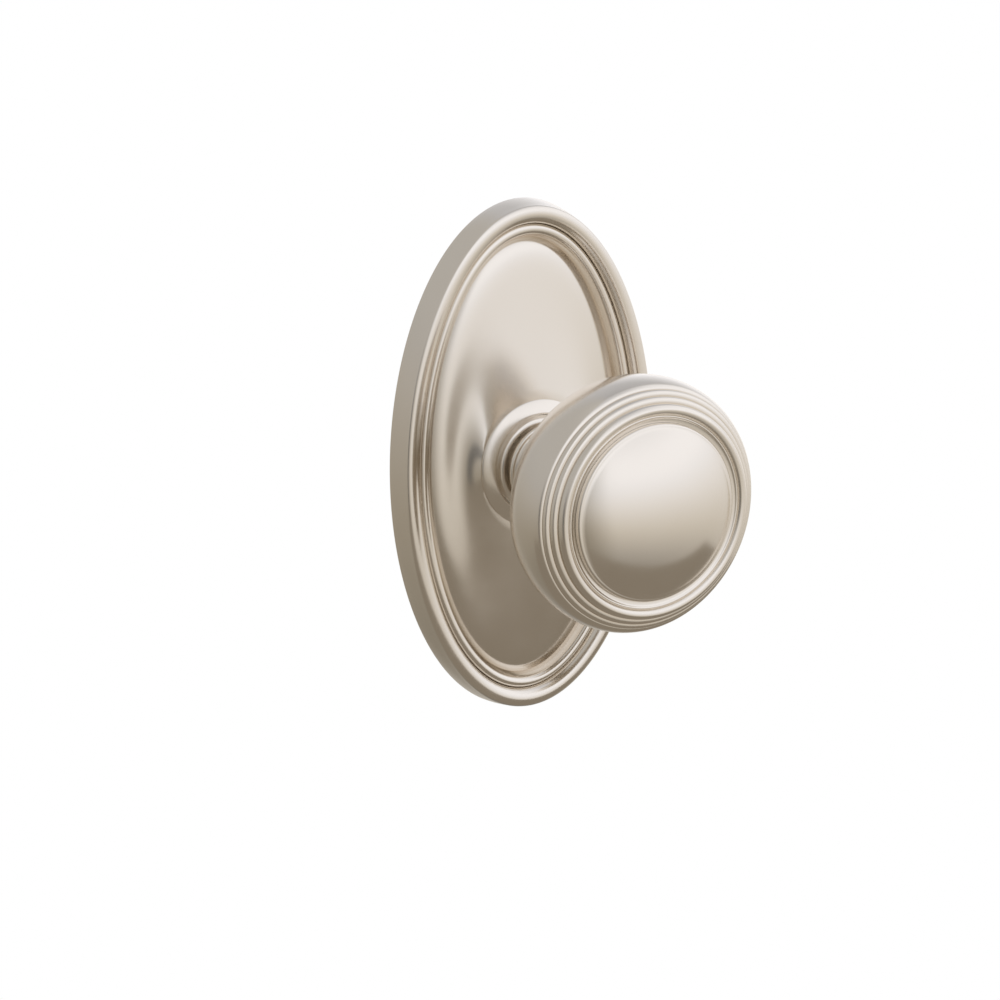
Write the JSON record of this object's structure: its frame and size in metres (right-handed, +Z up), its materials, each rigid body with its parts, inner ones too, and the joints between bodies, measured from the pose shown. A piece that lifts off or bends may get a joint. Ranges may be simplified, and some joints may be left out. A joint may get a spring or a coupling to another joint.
{
  "type": "door knob",
  "caption": "Round reeded door knob with a domed face on a moulded oval rose, with a spring-return cassette, square spindle and concealed door fixings.",
  "frame": {"origin": "centre of the rose on the knob axis, in the plane of the door face", "axes": "-Y points out of the door along the knob axis, +Y into the door, +Z up the long axis of the rose, +X to the right seen from the front"},
  "size_m": [0.0712, 0.1079, 0.127],
  "materials": {
    "satin_nickel": "satin nickel plate over brass, fine brushed sheen",
    "zinc_steel": "zinc-plated steel, slightly mottled",
    "spring_steel": "blued spring steel",
    "black_steel": "black-oxide screw steel",
    "cast_zinc": "as-cast zinc alloy, fine grain",
    "nylon": "natural acetal, satin"
  },
  "bodies": {
    "rose_assembly": {"rose": "satin_nickel", "rose_collar": "satin_nickel", "neck_bushing": "nylon", "thrust_washer": "nylon", "mounting_plate": "zinc_steel", "rose_clip": "spring_steel", "clip_rivet": "zinc_steel", "rose_grub_screw": "black_steel", "through_bolts": "zinc_steel", "wood_screws": "zinc_steel", "cassette_cup": "cast_zinc", "cassette_cover": "zinc_steel", "cassette_screws": "black_steel", "return_spring": "spring_steel"},
    "knob": {"knob_shell": "satin_nickel", "knob_face": "satin_nickel", "face_snap_ring": "spring_steel", "knob_neck": "satin_nickel", "core_washer": "zinc_steel", "core_nut": "zinc_steel", "drive_pin": "spring_steel", "spindle": "zinc_steel", "spindle_grub_screw": "black_steel", "retaining_ring": "spring_steel", "spring_washer": "spring_steel", "return_cam": "cast_zinc"}
  },
  "joints": [
    {"name": "knob_turn", "type": "hinge", "parent": "rose_assembly", "child": "knob", "pos_m": [0, 0, 0], "axis": [0, 1, 0], "range_deg": [-55, 55], "stiffness_Nm_per_rad": 0.28, "deforming": ["return_spring"]}
  ]
}
